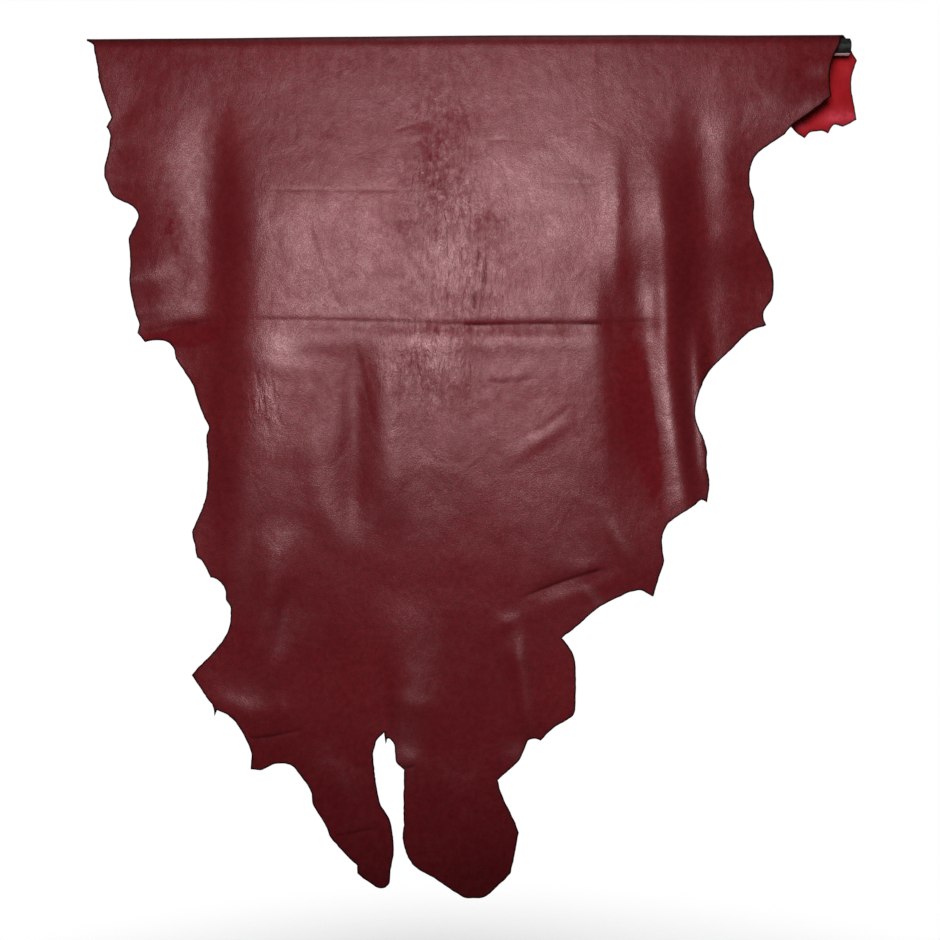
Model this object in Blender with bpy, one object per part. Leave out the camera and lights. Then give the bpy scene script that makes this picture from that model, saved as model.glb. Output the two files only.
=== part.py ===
"""A whole leather hide hung over a round steel rail, neck end down.

The hide is one thin sheet. Its long front layer hangs before the rail, its short back layer (the
butt and the two hind legs) hangs behind it, and the bend between them lies over the rail.

Units are metres and +Z is up. The origin is the centre of the rail's left end face, +X runs along
the rail to its right end, and the long front layer faces -Y.

The tables give the hide as it looks from straight in front. "across" runs along the rail from its
left end, and "drop" runs down from the fold's top line, both in millimetres on the upright plane
through the rail's centre. Each point then slides along its own line of sight to its real depth, so
that the outline keeps its drawn form whatever the folds do.
"""

import bisect
import math

import bpy
from mathutils import Vector, geometry

MM = 0.001

# The rail: a plain round tube with closed, square ends.
RAIL_LENGTH = 900 * MM
RAIL_RADIUS = 10 * MM
RAIL_RIM = 0.8 * MM
RAIL_SIDES = 32

# The leather sheet, and the room it keeps to the rail.
LEATHER_THICKNESS = 1.5 * MM
RAIL_GAP = 2.5 * MM
BEND_RADIUS = RAIL_RADIUS + RAIL_GAP + LEATHER_THICKNESS / 2
QUARTER_BEND = BEND_RADIUS * math.pi / 2

# The point the tables are seen from: level, square to the rail, at half the hide's height.
SIGHT_DISTANCE = 1500 * MM
SIGHT_ACROSS = 442 * MM
SIGHT_BELOW = 504.9 * MM
SIGHT_ANGLE = math.atan2(SIGHT_BELOW, SIGHT_DISTANCE)
TOP_LINE = (RAIL_RADIUS + RAIL_GAP + LEATHER_THICKNESS) / math.cos(SIGHT_ANGLE)

# How fine the sheet is.
EDGE_STEP = 15 * MM
BEND_EDGE_STEP = 2.4 * MM
GRID_ACROSS = 17.5 * MM
GRID_DOWN = 31 * MM
GRID_MARGIN = 7 * MM
BEND_ROWS = 13

SHARP = True
ROUND = False

# The cut edge of the front layer, down its left side and up its right side.
# (across, drop, corner)
LEFT_HAUNCH = [
    (-6, 15, ROUND), (-2, 34, ROUND), (0, 52, ROUND), (7, 73, ROUND), (14, 94, SHARP),
    (8, 106, SHARP), (11, 110, ROUND), (13, 117, SHARP), (10, 137, ROUND), (5, 157, ROUND),
    (9, 175, ROUND), (16, 189, ROUND), (27, 195, SHARP), (40, 202, ROUND), (46, 214, ROUND),
    (34, 239, SHARP), (36, 267, ROUND), (35, 294, ROUND), (40, 322, ROUND), (46, 343, ROUND),
    (44, 353, SHARP), (53, 364, SHARP),
]
LEFT_FLANK = [
    (62, 362, ROUND), (77, 363, ROUND), (87, 371, ROUND), (90, 384, ROUND), (101, 401, ROUND),
    (110, 416, ROUND), (116, 435, ROUND), (124, 456, ROUND), (129, 466, ROUND), (126, 479, ROUND),
    (128, 506, ROUND), (127, 530, ROUND), (124, 554, ROUND), (108, 592, SHARP),
]
LEFT_FORELEG = [
    (114, 623, SHARP), (121, 628, ROUND), (130, 647, SHARP), (138, 649, ROUND), (147, 660, ROUND),
    (149, 674, ROUND), (154, 684, ROUND), (151, 710, ROUND), (135, 734, ROUND), (115, 754, ROUND),
    (107, 764, SHARP), (124, 790, ROUND), (132, 801, ROUND), (134, 813, SHARP),
]
LEFT_NECK = [
    (137, 806, SHARP), (150, 812, ROUND), (163, 826, ROUND), (177, 855, ROUND), (177, 877, SHARP),
    (191, 878, ROUND), (206, 871, ROUND), (224, 872, ROUND), (235, 883, ROUND), (249, 904, ROUND),
    (251, 919, ROUND), (267, 946, ROUND), (272, 959, ROUND), (295, 985, ROUND), (304, 993, SHARP),
    (304, 1003, SHARP), (320, 1015, ROUND), (332, 1021, ROUND), (342, 1016, ROUND),
    (344, 1001, ROUND), (348, 975, ROUND), (344, 941, ROUND), (332, 919, ROUND), (327, 893, ROUND),
    (324, 863, ROUND), (328, 844, ROUND), (337, 834, SHARP),
]
RIGHT_NECK = [
    (339, 848, SHARP), (342, 841, ROUND), (349, 848, ROUND), (352, 870, ROUND), (361, 879, SHARP),
    (360, 912, ROUND), (360, 945, ROUND), (359, 964, ROUND), (370, 992, ROUND), (396, 1009, ROUND),
    (423, 1027, ROUND), (434, 1033, ROUND), (456, 1032, ROUND), (468, 1023, ROUND),
    (488, 1004, SHARP), (493, 981, ROUND), (498, 955, SHARP), (492, 939, ROUND), (479, 912, ROUND),
    (473, 892, SHARP),
]
RIGHT_FORELEG = [
    (490, 877, ROUND), (500, 867, ROUND), (510, 845, ROUND), (518, 842, ROUND), (525, 845, SHARP),
    (540, 830, ROUND), (564, 815, ROUND), (567, 802, ROUND), (567, 750, ROUND), (560, 733, ROUND),
    (551, 722, SHARP), (569, 708, ROUND), (595, 686, ROUND), (624, 671, ROUND), (644, 665, ROUND),
    (661, 673, SHARP),
]
RIGHT_FLANK = [
    (669, 646, ROUND), (674, 632, ROUND), (672, 602, ROUND), (681, 584, ROUND), (709, 565, ROUND),
    (720, 557, ROUND), (726, 560, SHARP), (729, 536, ROUND), (726, 519, ROUND), (725, 492, ROUND),
    (713, 459, ROUND), (715, 436, ROUND), (728, 405, ROUND), (755, 378, ROUND), (778, 356, ROUND),
    (798, 348, SHARP),
]
RIGHT_HAUNCH = [
    (795, 333, ROUND), (806, 314, ROUND), (806, 282, ROUND), (791, 247, ROUND), (784, 223, ROUND),
    (785, 198, SHARP), (780, 182, ROUND), (780, 161, ROUND), (789, 142, ROUND), (822, 119, SHARP),
    (829, 110, ROUND), (840, 102, ROUND), (853, 93, ROUND), (878, 74, SHARP), (876, 52, ROUND),
    (880, 28, ROUND), (888, 12, ROUND),
]
FRONT_EDGE = (
    LEFT_HAUNCH + LEFT_FLANK + LEFT_FORELEG + LEFT_NECK
    + RIGHT_NECK + RIGHT_FORELEG + RIGHT_FLANK + RIGHT_HAUNCH
)

# The cut edge of the back layer, down its right side and up its left side.
# (across, drop, corner)
RIGHT_HIND_LEG = [
    (904, 23, ROUND), (909, 31, SHARP), (903, 48, ROUND), (902, 64, ROUND), (906, 90, ROUND),
    (908, 102, SHARP), (899, 107, ROUND), (892, 110, SHARP), (881, 108, ROUND), (874, 118, SHARP),
    (866, 115, ROUND), (852, 117, ROUND), (846, 124, SHARP), (835, 116, ROUND), (819, 100, ROUND),
    (797, 93, ROUND),
]
BUTT = [
    (774, 113, ROUND), (761, 155, ROUND), (751, 215, ROUND), (719, 272, ROUND), (665, 317, ROUND),
    (611, 353, ROUND), (563, 403, ROUND), (527, 426, SHARP), (479, 417, ROUND), (433, 438, SHARP),
    (383, 418, ROUND), (339, 430, SHARP), (299, 389, ROUND), (251, 343, ROUND), (197, 314, ROUND),
    (153, 268, ROUND), (134, 212, ROUND), (125, 160, ROUND),
]
LEFT_HIND_LEG = [
    (106, 129, ROUND), (82, 131, SHARP), (55, 145, ROUND), (29, 136, SHARP), (23, 97, ROUND),
    (11, 59, ROUND), (5, 30, ROUND),
]
BACK_EDGE = RIGHT_HIND_LEG + BUTT + LEFT_HIND_LEG

# The cut edge where it crosses the rail, at an angle from the rail's top, forward positive.
# (across, angle, corner)
RIGHT_CROSSING = [(890, 55, ROUND), (892, 15, ROUND), (898, -45, ROUND)]
LEFT_CROSSING = [(-2, -60, ROUND), (-10, -15, ROUND), (-14, 20, ROUND), (-15, 40, SHARP), (-7, 75, ROUND)]

# How far the bend stands proud of the rail, most at the thick spine.
# (across, rise)
BEND_RISE = [(-28, 0.0), (102, 0.2), (292, 1.2), (472, 1.8), (632, 1.4), (792, 0.2), (922, 0.0)]

# Folds that hang down the front layer, from top to foot; a ridge has a height, a trough a depth
# below 0. "across" is given at the fold's top, middle and foot.
# (top drop, foot drop, top across, middle across, foot across, half width, height)
HANGING_FOLDS = [
    (10, 420, 140, 134, 118, 38, -5.0),
    (20, 400, 80, 76, 92, 44, 9.0),
    (60, 600, 202, 200, 206, 60, 5.0),
    (90, 420, 661, 677, 686, 17, 5.0),
    (240, 640, 676, 685, 722, 21, 7.0),
    (60, 600, 732, 728, 736, 20, -3.0),
    (60, 220, 752, 750, 750, 20, 3.0),
    (330, 620, 300, 304, 286, 24, -2.0),
    (345, 640, 303, 304, 300, 15, -3.0),
    (340, 620, 342, 345, 352, 20, 3.5),
    (440, 640, 262, 262, 300, 22, 3.0),
    (570, 800, 210, 196, 168, 22, 6.0),
    (700, 860, 496, 505, 520, 15, 4.0),
    (660, 860, 362, 362, 384, 34, 5.0),
    (700, 900, 284, 274, 280, 26, -5.0),
    (860, 1060, 284, 300, 318, 22, 5.0),
    (850, 1060, 404, 436, 454, 32, 5.0),
]

# Folds that run across the front layer, from left to right. "drop" is given at the fold's left
# end, middle and right end.
# (left across, right across, left drop, middle drop, right drop, half width, height)
CROSSING_FOLDS = [
    (60, 182, 353, 347, 338, 14, -2.0),
    (32, 692, 366, 366, 370, 14, 1.4),
    (502, 672, 686, 654, 630, 14, -2.0),
    (4, 112, 106, 62, 14, 16, -5.0),
    (620, 690, 120, 150, 190, 14, 2.0),
]

# Where the whole front layer steps forward (height above 0) or back, going right.
# (top drop, foot drop, top across, middle across, foot across, half width, height)
FRONT_STEPS = [
    (-80, 760, 154, 150, 142, 15, 15.0),
    (-80, 700, 698, 702, 712, 16, -17.0),
    (-20, 560, 764, 762, 752, 32, -9.0),
    (230, 620, 606, 610, 622, 12, -3.5),
    (230, 620, 630, 632, 640, 20, -9.0),
]

# A step grows over this drop below its top.
STEP_START = 80

# How far the front layer swings forward as it hangs.
# (drop, swing)
FRONT_SWING = [(0, 0.0), (480, 4.0), (1040, -9.0)]

# Folds that hang down the back layer, in the same columns as the front's.
BACK_FOLDS = [
    (10, 150, 850, 858, 866, 24, 3.0),
    (10, 320, 752, 732, 712, 46, 7.0),
    (10, 420, 552, 532, 522, 50, 10.0),
    (10, 420, 392, 412, 392, 44, 8.0),
    (10, 360, 242, 222, 232, 50, 9.0),
    (10, 170, 62, 68, 72, 26, 4.0),
]

# Rows of points run along the main fold that crosses the whole front layer.
CREASE_DROPS = [325, 341, 358]

# The folds and steps grow to their full height over this drop below the rail.
FOLD_GROWTH = 220


def smooth(value):
    """Eases from 0 to 1 as the value goes from 0 to 1."""
    held = min(max(value, 0.0), 1.0)
    return held * held * (3 - 2 * held)


def between(rows, place):
    """The second column of the rows, read at a place in their first column."""
    index = bisect.bisect([row[0] for row in rows], place)
    before = rows[max(index - 1, 0)]
    after = rows[min(index, len(rows) - 1)]
    if before is after:
        return before[1]
    share = smooth((place - before[0]) / (after[0] - before[0]))
    return before[1] + share * (after[1] - before[1])


def bow(share, start, middle, end):
    """A curve that passes its three values at shares 0, a half and 1."""
    return start + share * (4 * middle - 3 * start - end) + 2 * share * share * (start + end - 2 * middle)


def fold_height(row, along, beside):
    """The height of one fold at a place given along its run and beside it."""
    first, last, start, middle, end, half_width, height = row
    share = (along - first) / (last - first)
    if not 0 < share < 1:
        return 0.0
    fade = smooth(share * 3) * smooth((1 - share) * 3)
    offset = (beside - bow(share, start, middle, end)) / half_width
    return height * fade * math.exp(-offset * offset)


def step_height(row, along, beside):
    """The height that one step adds to what lies on its right."""
    first, last, start, middle, end, half_width, height = row
    share = min(max((along - first) / (last - first), 0.0), 1.0)
    offset = (beside - bow(share, start, middle, end)) / half_width
    fade = smooth((along - first) / STEP_START) * smooth((1 - share) * 3)
    return height * fade * (1 + math.tanh(offset)) / 2


def front_relief(across, drop):
    """How far the front layer stands forward of a plain hanging sheet."""
    wide = across / MM
    low = drop / MM
    height = sum(fold_height(row, low, wide) for row in HANGING_FOLDS)
    height += sum(fold_height(row, wide, low) for row in CROSSING_FOLDS)
    height += sum(step_height(row, low, wide) for row in FRONT_STEPS)
    height += between(FRONT_SWING, low)
    return height * MM * smooth((drop - FRONT_START) / (FOLD_GROWTH * MM))


def back_relief(across, drop):
    """How far the back layer stands behind a plain hanging sheet."""
    height = sum(fold_height(row, drop / MM, across / MM) for row in BACK_FOLDS)
    return height * MM * smooth((drop - BACK_START) / (FOLD_GROWTH * MM))


def bend_radius(across):
    return BEND_RADIUS + between(BEND_RISE, across / MM) * MM


def seen_at(across, drop, depth):
    """The point at this depth behind the rail's plane that is seen at the across and drop given."""
    reach = (SIGHT_DISTANCE + depth) / SIGHT_DISTANCE
    height = TOP_LINE - drop
    return Vector((
        SIGHT_ACROSS + (across - SIGHT_ACROSS) * reach,
        depth,
        (height + SIGHT_BELOW) * reach - SIGHT_BELOW,
    ))


def level_drop(depth):
    """The drop at which the rail's own height is seen, at this depth."""
    reach = (SIGHT_DISTANCE + depth) / SIGHT_DISTANCE
    return TOP_LINE + SIGHT_BELOW - SIGHT_BELOW / reach


FRONT_START = level_drop(-BEND_RADIUS)
BACK_START = level_drop(BEND_RADIUS)

# "along" runs over the sheet from the top of the rail: down the front above 0, down the back below.


def along_front(drop):
    return QUARTER_BEND + drop - FRONT_START


def along_back(drop):
    return BACK_START - drop - QUARTER_BEND


def along_bend(angle):
    return BEND_RADIUS * math.radians(angle)


def on_hide(across, along):
    """The point of the sheet's middle surface at this place."""
    radius = bend_radius(across)
    if along > QUARTER_BEND:
        drop = along - QUARTER_BEND + FRONT_START
        return seen_at(across, drop, -radius - front_relief(across, drop))
    if along < -QUARTER_BEND:
        drop = BACK_START - along - QUARTER_BEND
        return seen_at(across, drop, radius + back_relief(across, drop))
    angle = along / BEND_RADIUS
    depth = -radius * math.sin(angle)
    beside = seen_at(across, 0, depth)
    return Vector((beside.x, depth, radius * math.cos(angle)))


def hide_outline():
    """The sheet's whole cut edge as (across, along, corner), anticlockwise seen from the front."""
    rows = [(across, along_front(drop * MM), corner) for across, drop, corner in FRONT_EDGE]
    rows += [(across, along_bend(angle), corner) for across, angle, corner in RIGHT_CROSSING]
    rows += [(across, along_back(drop * MM), corner) for across, drop, corner in BACK_EDGE]
    rows += [(across, along_bend(angle), corner) for across, angle, corner in LEFT_CROSSING]
    return [(Vector((across * MM, along)), corner) for across, along, corner in rows]


def smooth_edge(rows):
    """The outline with its round stretches curved, and with points close together over the bend."""
    points = []
    count = len(rows)
    for index, (start, start_corner) in enumerate(rows):
        end, end_corner = rows[(index + 1) % count]
        chord = end - start
        leave = chord if start_corner else (end - rows[index - 1][0]) / 2
        arrive = chord if end_corner else (rows[(index + 2) % count][0] - start) / 2
        leave = leave * min(1.0, chord.length / max(leave.length, 1e-9))
        arrive = arrive * min(1.0, chord.length / max(arrive.length, 1e-9))
        step = BEND_EDGE_STEP if min(abs(start.y), abs(end.y)) < QUARTER_BEND else EDGE_STEP
        pieces = max(1, math.ceil(chord.length / step - 0.25))
        for piece in range(pieces):
            share = piece / pieces
            square = share * share
            cube = square * share
            points.append(
                start * (2 * cube - 3 * square + 1) + leave * (cube - 2 * square + share)
                + end * (3 * square - 2 * cube) + arrive * (cube - square)
            )
    return points


def inside(point, outline, margin):
    """Whether the point lies inside the outline and clear of it by the margin."""
    crossings = 0
    for index, start in enumerate(outline):
        end = outline[index - 1]
        if (start.y > point.y) != (end.y > point.y):
            share = (point.y - start.y) / (end.y - start.y)
            crossings += start.x + share * (end.x - start.x) > point.x
        side = end - start
        share = min(max((point - start).dot(side) / side.length_squared, 0.0), 1.0)
        if (start + side * share - point).length < margin:
            return False
    return crossings % 2 == 1


def grid_rows(outline):
    """The places along the sheet where a row of inner points runs: close over the bend."""
    lowest = min(point.y for point in outline)
    highest = max(point.y for point in outline)
    rows = [QUARTER_BEND * (2 * row / (BEND_ROWS - 1) - 1) for row in range(BEND_ROWS)]
    below = math.ceil((highest - QUARTER_BEND) / GRID_DOWN)
    behind = math.ceil((-QUARTER_BEND - lowest) / GRID_DOWN)
    rows += [QUARTER_BEND + GRID_DOWN * (row + 0.6) for row in range(below)]
    rows += [-QUARTER_BEND - GRID_DOWN * (row + 0.6) for row in range(behind)]
    creases = [along_front(drop * MM) for drop in CREASE_DROPS]
    apart = [row for row in rows if min(abs(row - crease) for crease in creases) > GRID_DOWN / 3]
    return sorted(apart + creases)


def inner_points(outline):
    """A grid of points over the inside of the outline, staggered below the bend.

    Over the bend the points stand in line, so that no face spans two rows and cuts in towards the rail.
    """
    first = min(point.x for point in outline)
    last = max(point.x for point in outline)
    columns = math.ceil((last - first) / GRID_ACROSS)
    points = []
    for row, along in enumerate(grid_rows(outline)):
        over_bend = abs(along) < QUARTER_BEND + BEND_EDGE_STEP
        margin = BEND_EDGE_STEP if over_bend else GRID_MARGIN
        shift = 0.0 if over_bend else GRID_ACROSS / 2 * (row % 2)
        for column in range(columns + 1):
            point = Vector((first + shift + column * GRID_ACROSS, along))
            if inside(point, outline, margin):
                points.append(point)
    return points


def principled(name, colour, roughness, metallic=0.0):
    """A plain material of one colour."""
    material = bpy.data.materials.new(name)
    material.use_nodes = True
    shader = material.node_tree.nodes["Principled BSDF"]
    shader.inputs["Base Color"].default_value = (*colour, 1.0)
    shader.inputs["Roughness"].default_value = roughness
    shader.inputs["Metallic"].default_value = metallic
    material.diffuse_color = (*colour, 1.0)
    return material


def add_object(name, mesh, material):
    mesh.materials.append(material)
    made = bpy.data.objects.new(name, mesh)
    bpy.context.scene.collection.objects.link(made)
    return made


def build_hide():
    """The leather sheet, meshed flat inside its outline, bent over the rail and given its thickness."""
    outline = smooth_edge(hide_outline())
    points = outline + inner_points(outline)
    border = list(range(len(outline)))
    inside_faces_only = 1
    flat, _, faces, *_ = geometry.delaunay_2d_cdt(points, [], [border], inside_faces_only, 1e-7)
    mesh = bpy.data.meshes.new("hide")
    mesh.from_pydata([on_hide(place.x, place.y) for place in flat], [], faces)
    mesh.shade_smooth()
    hide = add_object("hide", mesh, principled("burgundy_leather", (0.16, 0.025, 0.032), 0.42))
    solidify = hide.modifiers.new("leather thickness", "SOLIDIFY")
    solidify.thickness = LEATHER_THICKNESS
    solidify.offset = 0.0
    solidify.use_even_offset = True


def build_rail():
    """The rail: a profile turned about its own axis, closed at both ends."""
    profile = [
        (0.0, 0.0),
        (0.0, RAIL_RADIUS - RAIL_RIM),
        (RAIL_RIM, RAIL_RADIUS),
        (RAIL_LENGTH - RAIL_RIM, RAIL_RADIUS),
        (RAIL_LENGTH, RAIL_RADIUS - RAIL_RIM),
        (RAIL_LENGTH, 0.0),
    ]
    rings = profile[1:-1]
    points = []
    for along, radius in rings:
        for side in range(RAIL_SIDES):
            turn = 2 * math.pi * side / RAIL_SIDES
            points.append((along, -radius * math.sin(turn), radius * math.cos(turn)))
    faces = []
    for ring in range(len(rings) - 1):
        for side in range(RAIL_SIDES):
            here = ring * RAIL_SIDES + side
            beside = ring * RAIL_SIDES + (side + 1) % RAIL_SIDES
            faces.append((here, beside, beside + RAIL_SIDES, here + RAIL_SIDES))
    last_ring = (len(rings) - 1) * RAIL_SIDES
    faces.append(list(range(RAIL_SIDES))[::-1])
    faces.append([last_ring + side for side in range(RAIL_SIDES)])
    mesh = bpy.data.meshes.new("rail")
    mesh.from_pydata(points, [], faces)
    mesh.shade_smooth()
    mesh.set_sharp_from_angle(angle=math.radians(30))
    add_object("rail", mesh, principled("black_painted_steel", (0.012, 0.011, 0.011), 0.28))


for old in list(bpy.data.objects):
    bpy.data.objects.remove(old)
build_rail()
build_hide()
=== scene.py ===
"""The looks of a burgundy leather hide hung over a black rail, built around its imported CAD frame.

The long front layer shows the dyed grain side, and the short back layer shows its red flesh side
where it stands out past the front at the right. Lengths in the tables are millimetres: "across"
runs along the rail from its left end, and "drop" runs down from the fold's top line, both as seen
from the camera on the upright plane through the rail.
"""

import math

import bpy
import numpy as np
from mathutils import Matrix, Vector, geometry, noise


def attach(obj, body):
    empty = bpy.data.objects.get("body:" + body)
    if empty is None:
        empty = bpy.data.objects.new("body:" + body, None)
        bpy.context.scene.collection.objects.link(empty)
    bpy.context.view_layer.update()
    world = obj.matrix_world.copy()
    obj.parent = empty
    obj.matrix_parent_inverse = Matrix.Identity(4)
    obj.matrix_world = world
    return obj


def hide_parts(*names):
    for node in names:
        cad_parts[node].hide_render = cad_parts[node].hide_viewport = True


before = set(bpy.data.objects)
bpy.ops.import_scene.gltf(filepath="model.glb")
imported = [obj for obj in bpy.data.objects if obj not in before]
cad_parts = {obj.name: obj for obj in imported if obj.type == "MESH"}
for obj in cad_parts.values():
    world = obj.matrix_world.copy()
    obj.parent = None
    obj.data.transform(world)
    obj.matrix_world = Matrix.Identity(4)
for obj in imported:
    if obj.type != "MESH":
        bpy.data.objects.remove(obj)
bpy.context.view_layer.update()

MM = 0.001

# The CAD's own sizes.
RAIL_RADIUS = 10 * MM
RAIL_GAP = 2.5 * MM
LEATHER_THICKNESS = 1.5 * MM
BEND_RADIUS = RAIL_RADIUS + RAIL_GAP + LEATHER_THICKNESS / 2
QUARTER_BEND = BEND_RADIUS * math.pi / 2

# The camera stands where the tables are seen from, and leans a little.
SIGHT_DISTANCE = 1500 * MM
SIGHT_ACROSS = 442 * MM
SIGHT_BELOW = 504.9 * MM
SIGHT_ANGLE = math.atan2(SIGHT_BELOW, SIGHT_DISTANCE)
TOP_LINE = (RAIL_RADIUS + RAIL_GAP + LEATHER_THICKNESS) / math.cos(SIGHT_ANGLE)
CAMERA_SENSOR = 36.0
PLANE_SEEN_ACROSS = 1128 * MM
CAMERA_LEAN = math.radians(0.32)

# How fine the visual sheet is.
EDGE_STEP = 3.2 * MM
RIM_INSET = 2.0 * MM
RIM_CLEAR = 0.8
RIM_NEARNESS = 0.3
GRID_ACROSS = 5.3 * MM
GRID_DOWN = 4.7 * MM
GRID_MARGIN = 3.6 * MM
CREASE_STEP = 4.5 * MM
CREASE_ROOM = 2.4 * MM
CREASE_LANES = (-2, -1, 0, 1, 2)
LANE_WIDTH = 0.8
MERGE_DISTANCE = 1e-7

# Where two faces meet at more than this angle, the edge between them is sharp.
SHARP_ANGLE = math.radians(50)

# Small tears and scallops that the knife and the frame leave along the cut edge.
RAGGED_DEPTH = 0.7 * MM
RAGGED_LENGTH = 9 * MM

SHARP = True
ROUND = False

# The cut edge of the front layer, down its left side and up its right side.
# (across, drop, corner)
LEFT_HAUNCH = [
    (-6, 15, ROUND), (-2, 34, ROUND), (0, 52, ROUND), (7, 73, ROUND), (14, 94, SHARP),
    (8, 106, SHARP), (11, 110, ROUND), (13, 117, SHARP), (10, 137, ROUND), (5, 157, ROUND),
    (9, 175, ROUND), (16, 189, ROUND), (27, 195, SHARP), (40, 202, ROUND), (46, 214, ROUND),
    (34, 239, SHARP), (36, 267, ROUND), (35, 294, ROUND), (40, 322, ROUND), (46, 343, ROUND),
    (44, 353, SHARP), (53, 364, SHARP),
]
LEFT_FLANK = [
    (62, 362, ROUND), (77, 363, ROUND), (87, 371, ROUND), (90, 384, ROUND), (101, 401, ROUND),
    (110, 416, ROUND), (116, 435, ROUND), (124, 456, ROUND), (129, 466, ROUND), (126, 479, ROUND),
    (128, 506, ROUND), (127, 530, ROUND), (124, 554, ROUND), (108, 592, SHARP),
]
LEFT_FORELEG = [
    (114, 623, SHARP), (121, 628, ROUND), (130, 647, SHARP), (138, 649, ROUND), (147, 660, ROUND),
    (149, 674, ROUND), (154, 684, ROUND), (151, 710, ROUND), (135, 734, ROUND), (115, 754, ROUND),
    (107, 764, SHARP), (124, 790, ROUND), (132, 801, ROUND), (134, 813, SHARP),
]
LEFT_NECK = [
    (137, 806, SHARP), (150, 812, ROUND), (163, 826, ROUND), (177, 855, ROUND), (177, 877, SHARP),
    (191, 878, ROUND), (206, 871, ROUND), (224, 872, ROUND), (235, 883, ROUND), (249, 904, ROUND),
    (251, 919, ROUND), (267, 946, ROUND), (272, 959, ROUND), (295, 985, ROUND), (304, 993, SHARP),
    (304, 1003, SHARP), (320, 1015, ROUND), (332, 1021, ROUND), (342, 1016, ROUND),
    (344, 1001, ROUND), (348, 975, ROUND), (344, 941, ROUND), (332, 919, ROUND), (327, 893, ROUND),
    (324, 863, ROUND), (328, 844, ROUND), (337, 834, SHARP),
]
RIGHT_NECK = [
    (339, 848, SHARP), (342, 841, ROUND), (349, 848, ROUND), (352, 870, ROUND), (361, 879, SHARP),
    (360, 912, ROUND), (360, 945, ROUND), (359, 964, ROUND), (370, 992, ROUND), (396, 1009, ROUND),
    (423, 1027, ROUND), (434, 1033, ROUND), (456, 1032, ROUND), (468, 1023, ROUND),
    (488, 1004, SHARP), (493, 981, ROUND), (498, 955, SHARP), (492, 939, ROUND), (479, 912, ROUND),
    (473, 892, SHARP),
]
RIGHT_FORELEG = [
    (490, 877, ROUND), (500, 867, ROUND), (510, 845, ROUND), (518, 842, ROUND), (525, 845, SHARP),
    (540, 830, ROUND), (564, 815, ROUND), (567, 802, ROUND), (567, 750, ROUND), (560, 733, ROUND),
    (551, 722, SHARP), (569, 708, ROUND), (595, 686, ROUND), (624, 671, ROUND), (644, 665, ROUND),
    (661, 673, SHARP),
]
RIGHT_FLANK = [
    (669, 646, ROUND), (674, 632, ROUND), (672, 602, ROUND), (681, 584, ROUND), (709, 565, ROUND),
    (720, 557, ROUND), (726, 560, SHARP), (729, 536, ROUND), (726, 519, ROUND), (725, 492, ROUND),
    (713, 459, ROUND), (715, 436, ROUND), (728, 405, ROUND), (755, 378, ROUND), (778, 356, ROUND),
    (798, 348, SHARP),
]
RIGHT_HAUNCH = [
    (795, 333, ROUND), (806, 314, ROUND), (806, 282, ROUND), (791, 247, ROUND), (784, 223, ROUND),
    (785, 198, SHARP), (780, 182, ROUND), (780, 161, ROUND), (789, 142, ROUND), (822, 119, SHARP),
    (829, 110, ROUND), (840, 102, ROUND), (853, 93, ROUND), (878, 74, SHARP), (876, 52, ROUND),
    (880, 28, ROUND), (888, 12, ROUND),
]
FRONT_EDGE = (
    LEFT_HAUNCH + LEFT_FLANK + LEFT_FORELEG + LEFT_NECK
    + RIGHT_NECK + RIGHT_FORELEG + RIGHT_FLANK + RIGHT_HAUNCH
)

# The cut edge of the back layer, down its right side and up its left side.
# (across, drop, corner)
RIGHT_HIND_LEG = [
    (904, 23, ROUND), (909, 31, SHARP), (903, 48, ROUND), (902, 64, ROUND), (906, 90, ROUND),
    (908, 102, SHARP), (899, 107, ROUND), (892, 110, SHARP), (881, 108, ROUND), (874, 118, SHARP),
    (866, 115, ROUND), (852, 117, ROUND), (846, 124, SHARP), (835, 116, ROUND), (819, 100, ROUND),
    (797, 93, ROUND),
]
BUTT = [
    (774, 113, ROUND), (761, 155, ROUND), (751, 215, ROUND), (719, 272, ROUND), (665, 317, ROUND),
    (611, 353, ROUND), (563, 403, ROUND), (527, 426, SHARP), (479, 417, ROUND), (433, 438, SHARP),
    (383, 418, ROUND), (339, 430, SHARP), (299, 389, ROUND), (251, 343, ROUND), (197, 314, ROUND),
    (153, 268, ROUND), (134, 212, ROUND), (125, 160, ROUND),
]
LEFT_HIND_LEG = [
    (106, 129, ROUND), (82, 131, SHARP), (55, 145, ROUND), (29, 136, SHARP), (23, 97, ROUND),
    (11, 59, ROUND), (5, 30, ROUND),
]
BACK_EDGE = RIGHT_HIND_LEG + BUTT + LEFT_HIND_LEG

# The cut edge where it crosses the rail, at an angle from the rail's top, forward positive.
# (across, angle, corner)
RIGHT_CROSSING = [(890, 55, ROUND), (892, 15, ROUND), (898, -45, ROUND)]
LEFT_CROSSING = [(-2, -60, ROUND), (-10, -15, ROUND), (-14, 20, ROUND), (-15, 40, SHARP), (-7, 75, ROUND)]

# How far the bend stands proud of the rail, most at the thick spine.
# (across, rise)
BEND_RISE = [(-28, 0.0), (102, 0.2), (292, 1.2), (472, 1.8), (632, 1.4), (792, 0.2), (922, 0.0)]

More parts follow.
